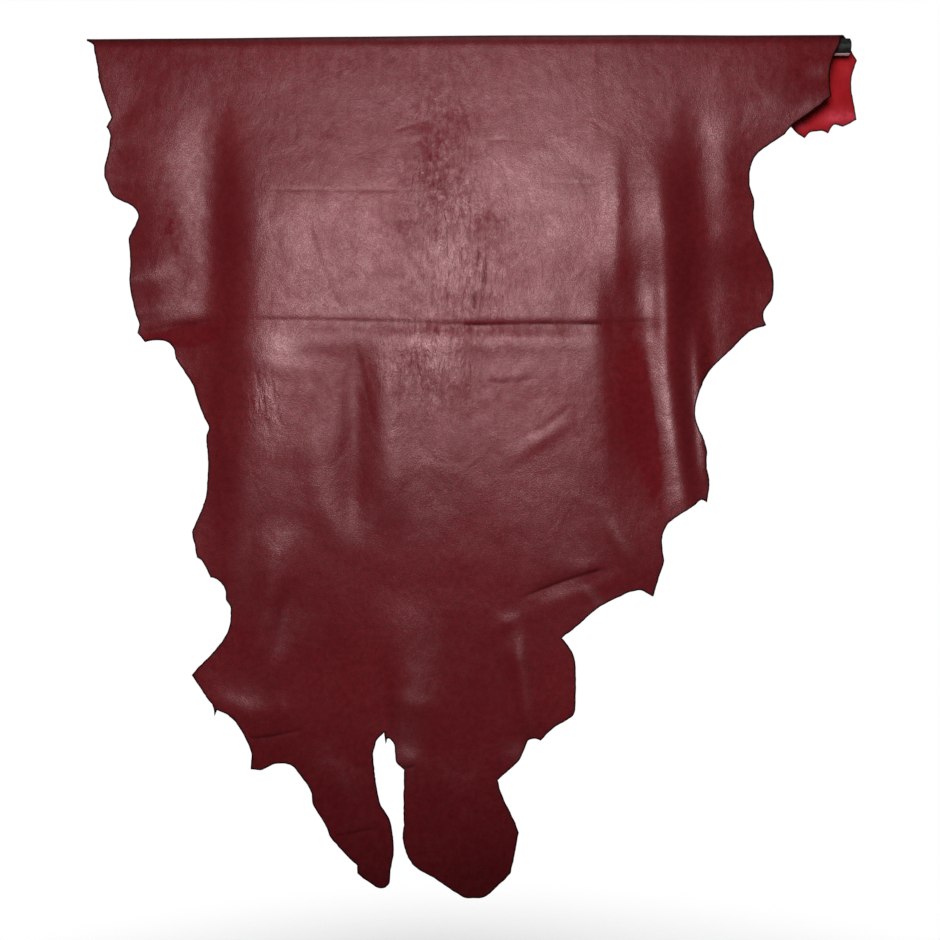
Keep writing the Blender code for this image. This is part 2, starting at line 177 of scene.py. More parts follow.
# Folds that hang down the front layer, from top to foot; a ridge has a height, a trough a depth
# below 0. "across" is given at the fold's top, middle and foot.
# (top drop, foot drop, top across, middle across, foot across, half width, height)
HANGING_FOLDS = [
    (10, 420, 140, 134, 118, 38, -5.0),
    (20, 400, 80, 76, 92, 44, 9.0),
    (60, 600, 202, 200, 206, 60, 5.0),
    (392, 512, 148, 144, 149, 7, 1.5),
    (60, 320, 30, 22, 34, 20, -1.5),
    (90, 340, 618, 619, 620, 12, 3.2),
    (90, 420, 661, 677, 686, 17, 5.0),
    (240, 640, 676, 685, 722, 17, 6.5),
    (60, 600, 732, 728, 736, 20, -3.0),
    (60, 220, 752, 750, 750, 20, 3.0),
    (320, 570, 714, 720, 728, 9, 8.0),
    (330, 620, 300, 304, 286, 24, -2.0),
    (345, 640, 303, 304, 300, 15, -3.0),
    (340, 620, 342, 345, 352, 20, 3.5),
    (340, 560, 448, 448, 452, 12, -1.2),
    (440, 640, 262, 262, 300, 22, 3.0),
    (570, 800, 210, 196, 168, 22, 6.0),
    (640, 760, 232, 218, 206, 12, -4.0),
    (700, 860, 496, 505, 520, 11, 5.0),
    (660, 860, 362, 362, 384, 34, 5.0),
    (740, 880, 338, 338, 346, 12, -4.0),
    (700, 900, 284, 274, 280, 26, -5.0),
    (860, 1060, 284, 300, 318, 22, 5.0),
    (850, 1060, 404, 436, 454, 32, 5.0),
]

# Folds that run across the front layer, from left to right. "drop" is given at the fold's left
# end, middle and right end.
# (left across, right across, left drop, middle drop, right drop, half width, height)
CROSSING_FOLDS = [
    (60, 182, 353, 347, 338, 12, -2.0),
    (32, 692, 366, 366, 370, 14, 1.4),
    (90, 560, 337, 345, 354, 6, -0.8),
    (400, 720, 349, 350, 350, 8, -1.6),
    (496, 636, 680, 653, 636, 11, -1.8),
    (492, 640, 704, 670, 652, 12, 1.0),
    (4, 112, 106, 62, 14, 16, -5.0),
    (620, 690, 120, 150, 190, 14, 0.4),
]

# Where the whole front layer steps forward (height above 0) or back, going right.
# (top drop, foot drop, top across, middle across, foot across, half width, height)
FRONT_STEPS = [
    (-80, 760, 154, 150, 142, 18, 15.0),
    (-80, 700, 698, 702, 712, 16, -17.0),
    (-20, 560, 764, 762, 752, 32, -9.0),
    (230, 620, 606, 610, 622, 9, -3.5),
    (230, 620, 630, 632, 640, 20, -9.0),
]

# A step grows over this drop below its top, and fades over the last of this many parts of its run.
STEP_START = 80
STEP_PARTS = 3

# How far the front layer swings forward as it hangs.
# (drop, swing)
FRONT_SWING = [(0, 0.0), (480, 4.0), (1040, -9.0)]

# Folds that hang down the back layer, in the same columns as the front's.
BACK_FOLDS = [
    (10, 150, 850, 858, 866, 24, 3.0),
    (10, 320, 752, 732, 712, 46, 7.0),
    (10, 420, 552, 532, 522, 50, 10.0),
    (10, 420, 392, 412, 392, 44, 8.0),
    (10, 360, 242, 222, 232, 50, 9.0),
    (10, 170, 62, 68, 72, 26, 4.0),
]

# The folds and steps grow to their full height over this drop below the rail.
FOLD_GROWTH = 220

# Narrow creases that run down the front layer, with a sharp valley between two raised lips.
# (top drop, foot drop, top across, middle across, foot across, half width, depth)
HANGING_CREASES = [
    (214, 330, 252, 266, 292, 3.0, 0.4),
    (90, 130, 232, 236, 230, 2.6, 0.3),
    (352, 470, 300, 316, 328, 3.5, 0.3),
    (400, 474, 186, 194, 202, 2.6, 0.35),
    (396, 470, 202, 208, 216, 2.6, 0.35),
    (250, 334, 456, 450, 448, 2.6, 0.6),
    (262, 334, 464, 460, 458, 2.4, 0.5),
]

# Narrow creases that run across the front layer.
# (left across, right across, left drop, middle drop, right drop, half width, depth)
CROSSING_CREASES = [
    (46, 136, 352, 344, 338, 3.2, 0.45),
    (172, 480, 337, 340, 347, 2.4, 0.35),
    (430, 612, 345, 344, 345, 2.8, 0.65),
    (600, 704, 343, 342, 340, 2.4, 0.25),
    (184, 396, 182, 183, 184, 2.2, 0.25),
    (532, 598, 176, 176, 178, 2.2, 0.2),
    (462, 520, 126, 124, 130, 2.2, 0.2),
    (352, 396, 112, 106, 100, 2.2, 0.2),
    (500, 604, 674, 653, 638, 3.0, 0.8),
    (498, 566, 482, 468, 440, 3.4, 0.4),
    (464, 524, 413, 414, 408, 3.2, 0.35),
    (170, 242, 840, 836, 828, 2.8, 0.6),
    (338, 376, 868, 876, 872, 2.8, 0.6),
    (274, 338, 958, 952, 946, 3.0, 0.6),
]

# Places where the dressing on the grain is rubbed bright, or lost and dull: each a soft oval.
# (across, drop, half across, half drop, turn in degrees, shine)
LEFT_SHINE = [
    (180, 24, 190, 36, 0, -0.3),
    (60, 60, 60, 60, 0, -0.5),
    (24, 44, 14, 18, 30, 0.5),
    (98, 262, 36, 60, 0, -0.45),
    (82, 214, 16, 54, 0, -0.65),
    (128, 190, 8, 130, 0, -0.4),
    (112, 410, 26, 100, 0, -0.7),
    (30, 119, 22, 10, 0, 0.5),
    (26, 165, 22, 10, 0, 0.5),
    (48, 284, 28, 14, -10, 1.6),
    (66, 332, 44, 8, -6, 0.9),
    (90, 358, 60, 12, -8, -1.4),
    (192, 190, 14, 80, 0, 0.4),
    (206, 368, 40, 18, 10, 0.8),
    (198, 450, 18, 70, 0, 1.0),
    (176, 550, 16, 60, 0, 0.5),
]
MIDDLE_SHINE = [
    (262, 434, 32, 44, 0, -0.35),
    (348, 460, 16, 110, 0, 0.2),
    (256, 566, 70, 60, 0, 1.0),
    (404, 398, 28, 20, 0, 1.1),
    (402, 374, 22, 12, 0, 0.8),
    (373, 368, 18, 9, 0, 0.8),
    (400, 352, 170, 7, 1, -0.4),
    (540, 351, 80, 10, 0, -0.5),
    (398, 165, 13, 60, -8, -0.4),
    (432, 106, 18, 14, 0, -0.4),
    (364, 228, 26, 18, 0, -0.5),
    (470, 220, 20, 26, 10, -0.5),
    (420, 270, 30, 60, 0, 0.5),
    (470, 165, 60, 24, 0, 0.4),
    (524, 380, 60, 36, 0, 0.4),
    (584, 354, 12, 22, 0, 0.8),
    (490, 417, 40, 10, 0, -0.45),
    (558, 442, 26, 30, 0, -0.35),
    (302, 532, 10, 76, 0, -0.6),
    (390, 560, 36, 70, 0, 0.5),
    (528, 580, 70, 66, 0, 0.95),
    (560, 615, 30, 30, 0, 0.6),
]
RIGHT_SHINE = [
    (560, 130, 90, 80, 0, 0.7),
    (646, 180, 18, 50, 0, -0.4),
    (660, 350, 12, 14, 0, -0.4),
    (636, 430, 40, 100, 0, -0.9),
    (656, 490, 16, 100, -9, -1.2),
    (679, 450, 9, 110, -9, 1.9),
    (709, 430, 8, 80, -4, 2.0),
    (624, 604, 8, 28, -30, 1.2),
    (700, 88, 26, 40, 0, 0.9),
    (748, 122, 16, 26, 0, 0.8),
    (762, 104, 50, 16, -15, 0.7),
    (782, 280, 60, 130, 0, -0.6),
    (860, 50, 70, 60, 0, -0.8),
    (806, 82, 16, 14, -20, 0.6),
    (846, 88, 20, 6, -32, 1.4),
    (862, 43, 10, 8, 0, 0.9),
]
NECK_SHINE = [
    (580, 628, 16, 8, -20, 1.0),
    (612, 655, 32, 9, -18, -0.7),
    (588, 670, 5, 16, -42, 3.2),
    (486, 692, 14, 6, -14, 1.0),
    (509, 774, 7, 58, -8, 2.8),
    (494, 856, 12, 11, 0, 5.0),
    (204, 620, 26, 60, 12, 0.6),
    (172, 640, 16, 50, 0, 1.0),
    (210, 720, 22, 36, 16, 1.2),
    (128, 762, 12, 5, 20, 1.5),
    (168, 786, 32, 26, 0, 2.6),
    (380, 736, 26, 46, 0, 1.8),
    (382, 764, 16, 30, 0, 1.2),
    (374, 792, 26, 18, 10, 1.2),
    (362, 846, 18, 36, 0, 5.0),
]
SHINE_PATCHES = LEFT_SHINE + MIDDLE_SHINE + RIGHT_SHINE + NECK_SHINE

# Where the skin is finely wrinkled, most along the spine.
# (across, drop, half across, half drop, turn in degrees, strength)
WRINKLED_PATCHES = [
    (430, 270, 56, 130, 0, 1.0),
    (410, 140, 36, 80, 0, 1.0),
    (196, 440, 18, 36, 0, 1.6),
    (384, 394, 48, 46, 0, 1.2),
    (380, 710, 50, 70, 0, 0.5),
    (206, 690, 34, 60, 0, 0.5),
]

# Painted highlights: where the red flesh side of the back layer is painted pale pink.
# (across, drop, half across, half drop, turn in degrees, strength)
PAINTED_HIGHLIGHT_PATCHES = [
    (890, 99, 20, 8, -4, 0.8),
    (838, 108, 12, 5, 10, 0.4),
    (896, 45, 8, 12, 0, 0.12),
]

# How strongly fully dressed leather reflects.
FULL_SHINE = 0.347

# The back layer's grain side is duller, and even.
BACK_SHINE = 0.5

# On the front the dressing thins out towards the neck and legs.
# (drop, shine)
DRESSING = [(0, 0.6), (70, 1.0), (520, 1.0), (660, 0.8), (780, 0.4), (1030, 0.15)]

# Painted shade: the colour is made darker towards the foot of the neck and legs, where less light falls,
# and a little lighter at mid drop.
# (drop, tone)
SHADE_BY_DROP = [(0, 0.95), (500, 1.0), (680, 1.08), (800, 1.0), (920, 0.76), (1030, 0.48)]

# Painted shade: the colour is also made darker along the crown, where the leather turns up over the rail
# away from the light.
CROWN_SHADE = 0.6
CROWN_WIDTH = 6

# Low bulges that catch the light.
# (across, drop, half across, half drop, turn in degrees, height)
BULGES = [
    (168, 806, 38, 16, 14, 4.0),
    (216, 806, 10, 14, 0, 2.0),
    (372, 802, 22, 12, 12, 2.0),
    (366, 868, 16, 16, 0, 2.5),
    (486, 704, 20, 9, -14, 1.6),
    (213, 740, 12, 50, 14, 3.5),
    (624, 610, 10, 34, -28, 2.5),
    (584, 642, 18, 10, -24, 2.0),
    (534, 480, 36, 9, -32, 1.6),
    (206, 388, 38, 18, 10, 2.0),
    (404, 394, 30, 20, 0, 1.5),
    (24, 58, 20, 12, 10, 4.0),
    (790, 82, 24, 10, -20, 2.0),
    (690, 114, 8, 8, 0, 1.2),
    (26, 122, 22, 9, -10, 2.8),
    (24, 168, 22, 8, 5, 2.6),
    (34, 289, 34, 11, -10, 3.6),
    (46, 328, 34, 8, -8, 2.2),
    (806, 84, 14, 10, -30, 1.2),
]

# A crease is worn uneven over this length: it keeps this share of its depth, give or take the
# next. Its lips stand this high and this far out, as shares of its depth and half width.
CREASE_WEAR = 44
CREASE_KEPT = 0.85
CREASE_SWING = 0.7
LIP_HEIGHT = 0.25
LIP_OFFSET = 2.1

# Folds and creases ease in and out over these shares of their run.
FOLD_FADE = 0.33
CREASE_FADE = 0.12

# Below this depth under its middle the rail is painted pale, as a painted reflection along its underside.
REFLECTION_STRIP_HEIGHT = 9.0 * MM
REFLECTION_STRIP_FADE = 0.4 * MM

# The slow waves, dents and fine buckles of real leather.
# (wave length, height)
LEATHER_WAVES = [(150, 1.1), (55, 0.75), (21, 0.2)]
FRONT_WAVES_SEED = 3.0
BACK_WAVES_SEED = 17.0

# The studio: three soft lights, an even fill, and the floor below the hide, in metres and watts.
# (name, place, target, width, height, power)
LIGHTS = [
    ("key", (0.38, -1.6, 0.12), (0.44, 0.0, -0.30), 0.7, 0.7, 42),
    ("behind", (0.55, 1.9, 0.2), (0.45, 0.0, -0.45), 1.4, 1.2, 30),
    ("above", (0.45, -0.3, 1.7), (0.45, 0.0, -0.5), 1.2, 1.2, 7),
]
WORLD_FILL = 0.04
FLOOR_HEIGHT = -1.45
FLOOR_RADIUS = 1.4


def smooth(value):
    """Eases from 0 to 1 as the value goes from 0 to 1."""
    held = np.clip(value, 0.0, 1.0)
    return held * held * (3 - 2 * held)


def between(rows, place):
    """The second column of the rows, read at places in their first column."""
    firsts = np.array([row[0] for row in rows], dtype=float)
    seconds = np.array([row[1] for row in rows], dtype=float)
    held = np.clip(place, firsts[0], firsts[-1])
    index = np.clip(np.searchsorted(firsts, held) - 1, 0, len(rows) - 2)
    share = smooth((held - firsts[index]) / (firsts[index + 1] - firsts[index]))
    return seconds[index] + share * (seconds[index + 1] - seconds[index])


def bow(share, start, middle, end):
    """A curve that passes its three values at shares 0, a half and 1."""
    return start + share * (4 * middle - 3 * start - end) + 2 * share * share * (start + end - 2 * middle)


def run_share(row, along):
    return np.clip((along - row[0]) / (row[1] - row[0]), 0.0, 1.0)


def run_offset(row, along, beside):
    """How far beside the row's own line the places lie, in half widths."""
    return (beside - bow(run_share(row, along), *row[2:5])) / row[5]


def run_fade(row, along, end):
    """Eases a fold in and out over its two ends, each this share of its run."""
    share = run_share(row, along)
    return smooth(share / end) * smooth((1 - share) / end)


def fold_height(row, along, beside):
    offset = run_offset(row, along, beside)
    return row[6] * run_fade(row, along, FOLD_FADE) * np.exp(-offset * offset)


def step_height(row, along, beside):
    """The height that one step adds to what lies on its right."""
    rise = (1 + np.tanh(run_offset(row, along, beside))) / 2
    begin = smooth((along - row[0]) / STEP_START)
    return row[6] * begin * smooth((1 - run_share(row, along)) * STEP_PARTS) * rise


def crease_shape(row, along, beside):
    """A sharp valley, below 0, between two low lips, above 0, as a share of the crease's depth."""
    offset = run_offset(row, along, beside)
    valley = np.exp(-offset * offset)
    lips = np.exp(-((np.abs(offset) - LIP_OFFSET) ** 2))
    wear = [noise.noise(Vector((place / CREASE_WEAR, row[2], 0.0))) for place in along]
    uneven = CREASE_KEPT + CREASE_SWING * np.array(wear)
    return uneven * run_fade(row, along, CREASE_FADE) * (LIP_HEIGHT * lips - valley)


def leather_waves(across, drop, seed):
    """The slow waves of the sheet, in millimetres."""
    height = np.zeros(len(across))
    for length, size in LEATHER_WAVES:
        height += size * np.array([
            noise.noise(Vector((x / length, z / length, seed + length)))
            for x, z in zip(across, drop)
        ])
    return height


def creases(across, drop):
    """Every crease's depth in millimetres, and its shape alone."""
    height = np.zeros(len(across))
    shape = np.zeros(len(across))
    for rows, along, beside in ((HANGING_CREASES, drop, across), (CROSSING_CREASES, across, drop)):
        for row in rows:
            one = crease_shape(row, along, beside)
            height += row[6] * one
            shape += one * min(1.0, row[6])
    return height, shape


def patch_sum(rows, across, drop):
    """What the soft oval patches add up to at each place."""
    total = np.zeros(len(across))
    for row in rows:
        turn = math.radians(row[4])
        beside = (across - row[0]) * math.cos(turn) + (drop - row[1]) * math.sin(turn)
        below = (drop - row[1]) * math.cos(turn) - (across - row[0]) * math.sin(turn)
        total += row[5] * np.exp(-(beside / row[2]) ** 2 - (below / row[3]) ** 2)
    return total


def front_relief(across, drop):
    """How far the front layer stands forward of a plain hanging sheet."""
    wide = across / MM
    low = drop / MM
    height = sum(fold_height(row, low, wide) for row in HANGING_FOLDS)
    height += sum(fold_height(row, wide, low) for row in CROSSING_FOLDS)
    height += sum(step_height(row, low, wide) for row in FRONT_STEPS)
    height += between(FRONT_SWING, low)
    height += patch_sum(BULGES, wide, low)
    height += leather_waves(wide, low, FRONT_WAVES_SEED)
    height = height * smooth((drop - FRONT_START) / (FOLD_GROWTH * MM))
    return (height + creases(wide, low)[0]) * MM


def back_relief(across, drop):
    """How far the back layer stands behind a plain hanging sheet."""
    height = sum(fold_height(row, drop / MM, across / MM) for row in BACK_FOLDS)
    height += leather_waves(across / MM, drop / MM, BACK_WAVES_SEED)
    return height * MM * smooth((drop - BACK_START) / (FOLD_GROWTH * MM))


def seen_at(across, drop, depth):
    """The points at these depths behind the rail's plane that are seen at the across and drop given."""
    reach = (SIGHT_DISTANCE + depth) / SIGHT_DISTANCE
    height = TOP_LINE - drop
    return np.stack([
        SIGHT_ACROSS + (across - SIGHT_ACROSS) * reach,
        depth,
        (height + SIGHT_BELOW) * reach - SIGHT_BELOW,
    ], axis=1)


def level_drop(depth):
    """The drop at which the rail's own height is seen, at this depth."""
    reach = (SIGHT_DISTANCE + depth) / SIGHT_DISTANCE
    return TOP_LINE + SIGHT_BELOW - SIGHT_BELOW / reach


FRONT_START = level_drop(-BEND_RADIUS)
BACK_START = level_drop(BEND_RADIUS)

# "along" runs over the sheet from the top of the rail: down the front above 0, down the back below.


def along_front(drop):
    return QUARTER_BEND + drop - FRONT_START


def along_back(drop):
    return BACK_START - drop - QUARTER_BEND


def along_bend(angle):
    return BEND_RADIUS * math.radians(angle)


def on_hide(places):
    """The points of the sheet's middle surface at these places."""
    across = places[:, 0]
    along = places[:, 1]
    radius = BEND_RADIUS + between(BEND_RISE, across / MM) * MM
    front = along > QUARTER_BEND
    back = along < -QUARTER_BEND
    bend = ~front & ~back
    points = np.zeros((len(places), 3))
    drop = along[front] - QUARTER_BEND + FRONT_START
    depth = -radius[front] - front_relief(across[front], drop)
    points[front] = seen_at(across[front], drop, depth)
    drop = BACK_START - along[back] - QUARTER_BEND
    depth = radius[back] + back_relief(across[back], drop)
    points[back] = seen_at(across[back], drop, depth)
    angle = along[bend] / BEND_RADIUS
    depth = -radius[bend] * np.sin(angle)
    points[bend] = seen_at(across[bend], np.zeros(len(angle)), depth)
    points[bend, 2] = radius[bend] * np.cos(angle)
    return points


def hide_outline():
    """The sheet's whole cut edge as (place, corner), anticlockwise seen from the front."""
    rows = [(across, along_front(drop * MM), corner) for across, drop, corner in FRONT_EDGE]
    rows += [(across, along_bend(angle), corner) for across, angle, corner in RIGHT_CROSSING]
    rows += [(across, along_back(drop * MM), corner) for across, drop, corner in BACK_EDGE]
    rows += [(across, along_bend(angle), corner) for across, angle, corner in LEFT_CROSSING]
    return [(np.array((across * MM, along)), corner) for across, along, corner in rows]


def smooth_edge(rows):
    """The outline with its round stretches curved and no side much longer than the edge step."""
    points = []
    count = len(rows)
    for index, (start, start_corner) in enumerate(rows):
        end, end_corner = rows[(index + 1) % count]
        chord = end - start
        length = np.linalg.norm(chord)
        leave = chord if start_corner else (end - rows[index - 1][0]) / 2
        arrive = chord if end_corner else (rows[(index + 2) % count][0] - start) / 2
        leave = leave * min(1.0, length / max(np.linalg.norm(leave), 1e-9))
        arrive = arrive * min(1.0, length / max(np.linalg.norm(arrive), 1e-9))
        pieces = max(1, math.ceil(length / EDGE_STEP - 0.25))
        for piece in range(pieces):
            share = piece / pieces
            square = share * share
            cube = square * share
            points.append(
                start * (2 * cube - 3 * square + 1) + leave * (cube - 2 * square + share)
                + end * (3 * square - 2 * cube) + arrive * (cube - square)
            )
    return np.array(points)


def inward(points):
    """The direction from each point of the outline towards the sheet."""
    chord = np.roll(points, -1, axis=0) - np.roll(points, 1, axis=0)
    length = np.maximum(np.linalg.norm(chord, axis=1, keepdims=True), 1e-9)
    side = np.stack([-chord[:, 1], chord[:, 0]], axis=1) / length
    following = np.roll(points, -1, axis=0)
    turn = np.sum(points[:, 0] * following[:, 1] - following[:, 0] * points[:, 1])
    return side * np.sign(turn)


def ragged(points):
    """The outline with small uneven tears, kept off the stretch that lies over the rail."""
    steps = np.linalg.norm(np.roll(points, -1, axis=0) - points, axis=1)
    run = np.concatenate([[0.0], np.cumsum(steps)[:-1]]) / RAGGED_LENGTH
    depth = np.array([
        noise.noise(Vector((place, 5.0, 0.0))) + 0.6 * noise.noise(Vector((place * 2.7, 9.0, 0.0)))
        for place in run
    ])
    free = smooth((np.abs(points[:, 1]) / QUARTER_BEND - 1) / 0.5)
    return points + inward(points) * (RAGGED_DEPTH * depth * free)[:, None]


def edge_distance(points, outline):
    """How far each point lies from the outline, above 0 inside it and below 0 outside."""
    nearest = np.full(len(points), 1e9)
    crossings = np.zeros(len(points), dtype=int)
    for start, end in zip(outline, np.roll(outline, -1, axis=0)):
        side = end - start
        share = np.clip((points - start) @ side / (side @ side), 0.0, 1.0)
        nearest = np.minimum(nearest, np.linalg.norm(points - start - share[:, None] * side, axis=1))
        if start[1] != end[1]:
            level = (start[1] > points[:, 1]) != (end[1] > points[:, 1])
            reach = start[0] + (points[:, 1] - start[1]) / (end[1] - start[1]) * (end[0] - start[0])
            crossings += level & (reach > points[:, 0])
    return np.where(crossings % 2 == 1, nearest, -nearest)


def grid_points(outline):
    """A staggered grid of points over the box round the outline."""
    low = outline.min(axis=0)
    high = outline.max(axis=0)
    rows = []
    for row in range(math.ceil((high[1] - low[1]) / GRID_DOWN)):
        first = low[0] + GRID_ACROSS / 2 * (row % 2)
        across = np.arange(first, high[0], GRID_ACROSS)
        rows.append(np.stack([across, np.full(len(across), low[1] + row * GRID_DOWN)], axis=1))
    return np.concatenate(rows)


def crease_points():
    """Points close beside every crease, so that the mesh can hold its sharp valley."""
    places = []
    for rows, turned in ((HANGING_CREASES, False), (CROSSING_CREASES, True)):
        for row in rows:
            count = math.ceil(abs(row[1] - row[0]) * MM / CREASE_STEP)
            for step in range(count + 1):
                along = row[0] + (row[1] - row[0]) * step / count
                centre = bow(step / count, *row[2:5])
                for lane in CREASE_LANES:
                    beside = centre + lane * row[5] * LANE_WIDTH
                    across, drop = (along, beside) if turned else (beside, along)
                    places.append((across * MM, along_front(drop * MM)))
    return np.array(places)


def clear_of(points, others, gap):
    """The points that keep the gap to all of the others."""
    cells = {}
    for x, y in others:
        cells.setdefault((int(x // gap), int(y // gap)), []).append((x, y))
    kept = []
    for x, y in points:
        column, row = int(x // gap), int(y // gap)
        near = [
            other
            for i in (-1, 0, 1)
            for j in (-1, 0, 1)
            for other in cells.get((column + i, row + j), ())
        ]
        if all(math.hypot(x - a, y - b) >= gap for a, b in near):
            kept.append((x, y))
    return np.array(kept)


def sheet_places():
    """Every place that becomes a vertex, and how near the cut edge each lies, from 0 to 1 on it."""
    outline = ragged(smooth_edge(hide_outline()))
    rim = outline + inward(outline) * RIM_INSET
    rim = rim[edge_distance(rim, outline) > RIM_INSET * RIM_CLEAR]
    valleys = crease_points()
    valleys = valleys[edge_distance(valleys, outline) > GRID_MARGIN]
    grid = grid_points(outline)
    grid = grid[edge_distance(grid, outline) > GRID_MARGIN]
    grid = clear_of(grid, valleys, CREASE_ROOM)
    nearness = np.repeat([1.0, RIM_NEARNESS, 0.0], [len(outline), len(rim), len(valleys) + len(grid)])
    return np.concatenate([outline, rim, valleys, grid]), nearness


def attribute(mesh, name, values):
    layer = mesh.attributes.new(name, "FLOAT", "POINT")
    layer.data.foreach_set("value", np.asarray(values, dtype=np.float32))


def leather_sheet(grain, flesh, edge):
    """The hide: meshed flat inside its outline, bent over the rail, creased, and given its thickness."""
    places, nearness = sheet_places()
    border = np.count_nonzero(nearness == 1.0)
    inside_faces_only = 1
    flat, _, faces, *_ = geometry.delaunay_2d_cdt(
        [Vector(place) for place in places], [], [list(range(border))], inside_faces_only, MERGE_DISTANCE
    )
    flat = np.array([tuple(place) for place in flat])
    mesh = bpy.data.meshes.new("hide_leather")
    mesh.from_pydata(on_hide(flat).tolist(), [], [face[::-1] for face in faces])
    mesh.shade_smooth()
    drop = (flat[:, 1] - along_front(0.0)) / MM
    attribute(mesh, "edge", np.resize(nearness, len(flat)))
    attribute(mesh, "crease", np.where(drop > TOP_LINE / MM, creases(flat[:, 0] / MM, drop)[1], 0.0))
    shine = between(DRESSING, drop) * (1 + patch_sum(SHINE_PATCHES, flat[:, 0] / MM, drop))
    attribute(mesh, "shine", np.where(drop > 0, shine, BACK_SHINE))
    wrinkled = patch_sum(WRINKLED_PATCHES, flat[:, 0] / MM, drop)
    attribute(mesh, "wrinkles", np.where(drop > 0, wrinkled, 0.0))
    back_drop = (along_back(0.0) - flat[:, 1]) / MM
    # Painted highlights on the flesh side of the back layer.
    painted_highlight = patch_sum(PAINTED_HIGHLIGHT_PATCHES, flat[:, 0] / MM, back_drop)
    attribute(mesh, "painted_highlight", np.where(drop < 0, painted_highlight, 0.0))
    # Painted shade along the crown and towards the foot, carried as one colour factor.
    painted_crown_shade = 1 - CROWN_SHADE * np.exp(-((drop / CROWN_WIDTH) ** 2))
    attribute(mesh, "painted_shade", between(SHADE_BY_DROP, drop) * painted_crown_shade)
    attribute(mesh, "across", flat[:, 0])
    attribute(mesh, "along", flat[:, 1])
    for material in (grain, flesh, edge):
        mesh.materials.append(material)
    hide = bpy.data.objects.new("hide_leather", mesh)
    bpy.context.scene.collection.objects.link(hide)
    solidify = hide.modifiers.new("thickness", "SOLIDIFY")
    solidify.thickness = LEATHER_THICKNESS
    solidify.offset = 0.0
    solidify.use_even_offset = True
    solidify.material_offset = 1
    solidify.material_offset_rim = 2
    solid = bpy.data.meshes.new_from_object(hide.evaluated_get(bpy.context.evaluated_depsgraph_get()))
    hide.modifiers.clear()
    hide.data = solid
    solid.name = "hide_leather"
    solid.shade_smooth()
    solid.set_sharp_from_angle(angle=SHARP_ANGLE)
    return hide


class Nodes:
    """Short names for the shader nodes that the materials are made of."""

    def __init__(self, name):
        self.material = bpy.data.materials.new(name)
        self.material.use_nodes = True
        self.tree = self.material.node_tree
        self.shader = self.tree.nodes["Principled BSDF"]

    def add(self, kind, **settings):
        node = self.tree.nodes.new(kind)
        for name, value in settings.items():
            setattr(node, name, value)
        return node

    def link(self, output, socket):
        self.tree.links.new(output, socket)

    def put(self, value, socket):
        """Sets a socket to a number or a colour, or links it to another node's output."""
        if isinstance(value, bpy.types.NodeSocket):
            self.link(value, socket)
        else:
            socket.default_value = value

    def value(self, name):
        """A value that the mesh carries at each of its points."""
        return self.add("ShaderNodeAttribute", attribute_name=name).outputs["Fac"]

    def sheet_place(self, across=1.0, along=1.0):
        """A place on the flat sheet, with its two directions scaled."""
        place = self.add("ShaderNodeCombineXYZ")
        self.link(self.math("MULTIPLY", self.value("across"), across), place.inputs["X"])
        self.link(self.math("MULTIPLY", self.value("along"), along), place.inputs["Y"])
        return place.outputs["Vector"]

    def noise(self, place, scale, detail=3.0, roughness=0.5, distortion=0.0):
        node = self.add("ShaderNodeTexNoise")
        self.link(place, node.inputs["Vector"])
        node.inputs["Scale"].default_value = scale
        node.inputs["Detail"].default_value = detail
        node.inputs["Roughness"].default_value = roughness
        node.inputs["Distortion"].default_value = distortion
        return node.outputs["Fac"]

    def cells(self, place, scale):
        node = self.add("ShaderNodeTexVoronoi", feature="DISTANCE_TO_EDGE")
        self.link(place, node.inputs["Vector"])
        node.inputs["Scale"].default_value = scale
        return node.outputs["Distance"]

    def math(self, operation, first, second=0.0, third=0.0):
        node = self.add("ShaderNodeMath", operation=operation)
        self.put(first, node.inputs[0])
        self.put(second, node.inputs[1])
        self.put(third, node.inputs[2])
        return node.outputs[0]

    def between(self, value, low, high, to_low=0.0, to_high=1.0):
        """Maps a value from one range to another and holds it there."""
        node = self.add("ShaderNodeMapRange", interpolation_type="SMOOTHSTEP")
        self.link(value, node.inputs["Value"])
        node.inputs["From Min"].default_value = low
        node.inputs["From Max"].default_value = high
        node.inputs["To Min"].default_value = to_low
        node.inputs["To Max"].default_value = to_high
        return node.outputs["Result"]

    def mix(self, share, first, second):
        node = self.add("ShaderNodeMix", data_type="RGBA")
        self.put(share, node.inputs["Factor"])
        for value, socket in ((first, node.inputs[6]), (second, node.inputs[7])):
            self.put(value if isinstance(value, bpy.types.NodeSocket) else (*value, 1.0), socket)
        return node.outputs[2]

    def bump(self, height, distance, strength=1.0, below=None):
        node = self.add("ShaderNodeBump")
        node.inputs["Distance"].default_value = distance
        node.inputs["Strength"].default_value = strength
        self.link(height, node.inputs["Height"])
        if below is not None:
            self.link(below, node.inputs["Normal"])
        return node.outputs["Normal"]


